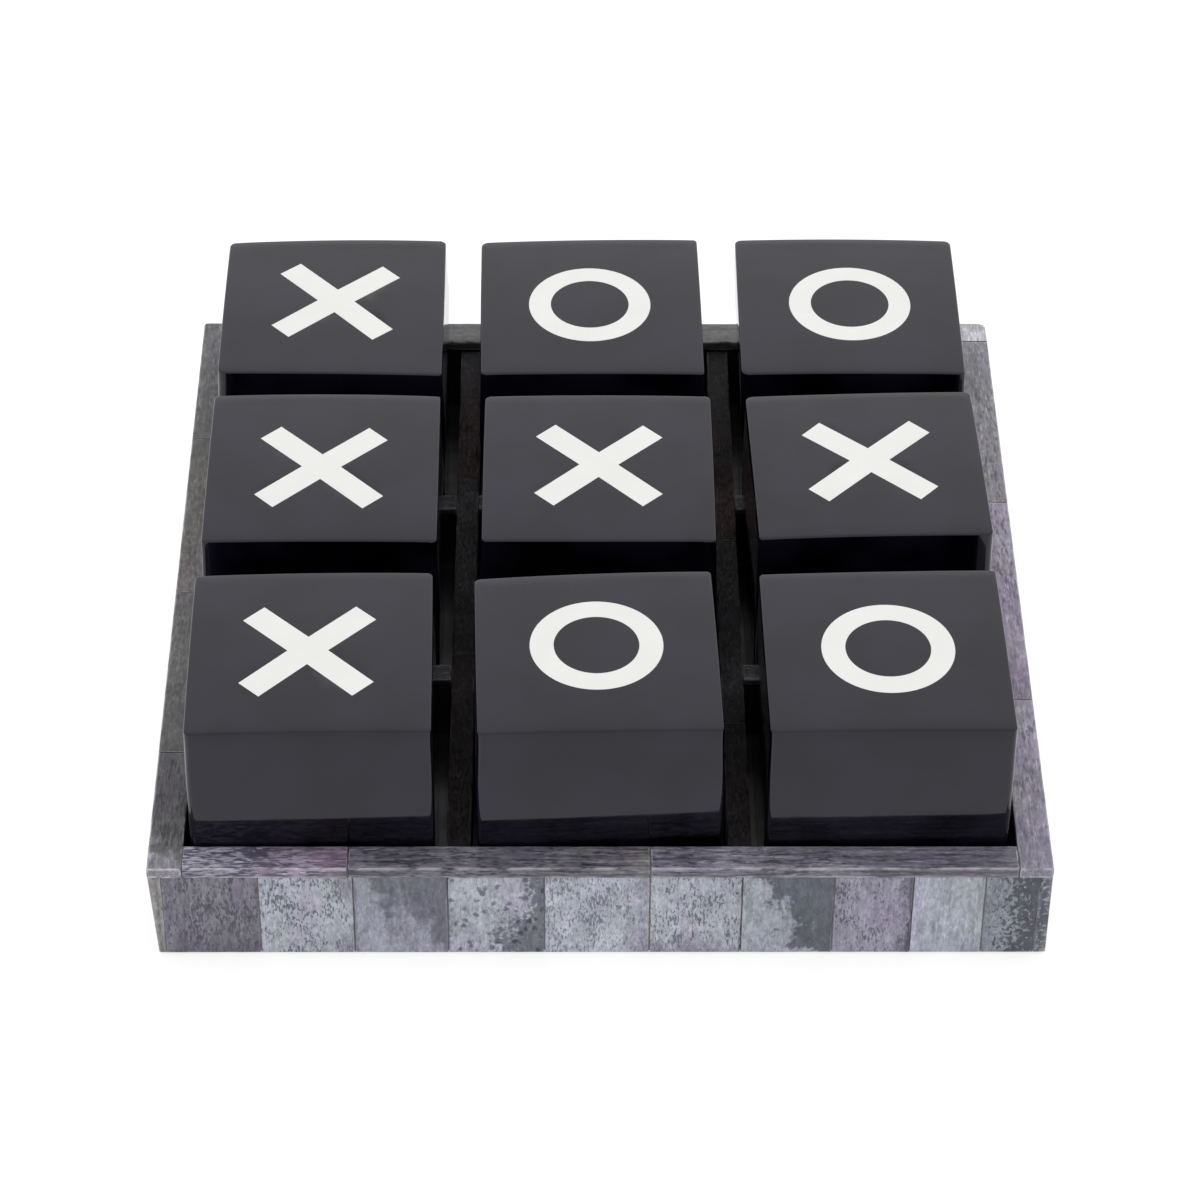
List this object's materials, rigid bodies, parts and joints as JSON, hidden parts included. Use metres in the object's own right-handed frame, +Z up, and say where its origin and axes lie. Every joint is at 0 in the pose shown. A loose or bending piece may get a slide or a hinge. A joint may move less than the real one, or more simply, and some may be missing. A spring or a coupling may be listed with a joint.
{
  "type": "tic tac toe set",
  "caption": "Bone-clad square tray with a divided grid of cells, holding loose polished resin blocks inlaid with crosses and rings that lift straight out.",
  "frame": {"origin": "middle of the tray's underside, on the surface it stands on", "axes": "+Z up out of the tray, +X to the right and +Y to the back, seen from the side with two rings in the nearest row of blocks"},
  "size_m": [0.2, 0.2, 0.0607],
  "materials": {
    "felt": "short black felt",
    "black_lacquer": "black lacquered board, satin",
    "bone_face": "dyed grey bone with dark pores, buffed",
    "bone_rim": "dyed grey bone with lengthwise grain, buffed",
    "bone_cap": "dark dyed bone, buffed",
    "black_resin": "cast black resin, hand polished",
    "ivory_resin": "ivory resin, polished flush with the block"
  },
  "bodies": {
    "tray": {"base_felt": "felt", "base_board": "black_lacquer", "front_rail": "black_lacquer", "back_rail": "black_lacquer", "left_rail": "black_lacquer", "right_rail": "black_lacquer", "front_face_strips": "bone_face", "back_face_strips": "bone_face", "left_face_strips": "bone_face", "right_face_strips": "bone_face", "front_rim_strips": "bone_rim", "back_rim_strips": "bone_rim", "left_rim_strips": "bone_rim", "right_rim_strips": "bone_rim", "left_divider": "black_lacquer", "right_divider": "black_lacquer", "front_cross_bars": "black_lacquer", "back_cross_bars": "black_lacquer", "left_divider_cap": "bone_cap", "right_divider_cap": "bone_cap", "front_cross_caps": "bone_cap", "back_cross_caps": "bone_cap"},
    "back_left_piece": {"back_left_block": "black_resin", "back_left_cross": "ivory_resin"},
    "back_middle_piece": {"back_middle_block": "black_resin", "back_middle_ring": "ivory_resin"},
    "back_right_piece": {"back_right_block": "black_resin", "back_right_ring": "ivory_resin"},
    "middle_left_piece": {"middle_left_block": "black_resin", "middle_left_cross": "ivory_resin"},
    "centre_piece": {"centre_block": "black_resin", "centre_cross": "ivory_resin"},
    "middle_right_piece": {"middle_right_block": "black_resin", "middle_right_cross": "ivory_resin"},
    "front_left_piece": {"front_left_block": "black_resin", "front_left_cross": "ivory_resin"},
    "front_middle_piece": {"front_middle_block": "black_resin", "front_middle_ring": "ivory_resin"},
    "front_right_piece": {"front_right_block": "black_resin", "front_right_ring": "ivory_resin"}
  },
  "joints": [
    {"name": "back_left_lift", "type": "slide", "parent": "tray", "child": "back_left_piece", "axis": [0, 0, 1], "range_m": [0, 0.06]},
    {"name": "back_middle_lift", "type": "slide", "parent": "tray", "child": "back_middle_piece", "axis": [0, 0, 1], "range_m": [0, 0.06]},
    {"name": "back_right_lift", "type": "slide", "parent": "tray", "child": "back_right_piece", "axis": [0, 0, 1], "range_m": [0, 0.06]},
    {"name": "middle_left_lift", "type": "slide", "parent": "tray", "child": "middle_left_piece", "axis": [0, 0, 1], "range_m": [0, 0.06]},
    {"name": "centre_lift", "type": "slide", "parent": "tray", "child": "centre_piece", "axis": [0, 0, 1], "range_m": [0, 0.06]},
    {"name": "middle_right_lift", "type": "slide", "parent": "tray", "child": "middle_right_piece", "axis": [0, 0, 1], "range_m": [0, 0.06]},
    {"name": "front_left_lift", "type": "slide", "parent": "tray", "child": "front_left_piece", "axis": [0, 0, 1], "range_m": [0, 0.06]},
    {"name": "front_middle_lift", "type": "slide", "parent": "tray", "child": "front_middle_piece", "axis": [0, 0, 1], "range_m": [0, 0.06]},
    {"name": "front_right_lift", "type": "slide", "parent": "tray", "child": "front_right_piece", "axis": [0, 0, 1], "range_m": [0, 0.06]}
  ]
}
